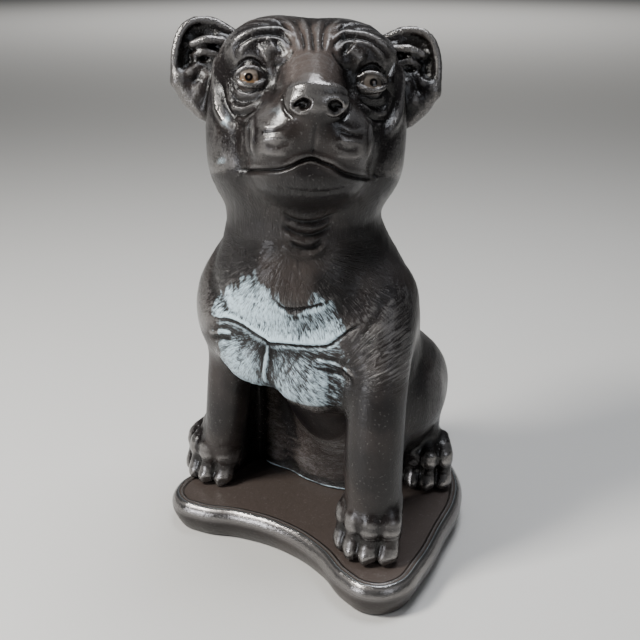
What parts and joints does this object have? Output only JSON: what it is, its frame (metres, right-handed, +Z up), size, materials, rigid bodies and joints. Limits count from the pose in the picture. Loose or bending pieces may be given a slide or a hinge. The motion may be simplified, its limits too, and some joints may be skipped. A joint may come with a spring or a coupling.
{
  "type": "garden dog statue",
  "caption": "Seated terrier garden ornament in dark painted cast stone, head turned and raised, on a low lobed plinth cast with it.",
  "frame": {"origin": "middle of the statue's box on the ground, under the plinth", "axes": "+Z up, the dog's body faces -Y, its left side is +X"},
  "size_m": [0.2376, 0.2206, 0.3998],
  "materials": {
    "painted_cast_stone": "satin"
  },
  "bodies": {
    "root": {"dog_statue": "painted_cast_stone"}
  },
  "joints": []
}
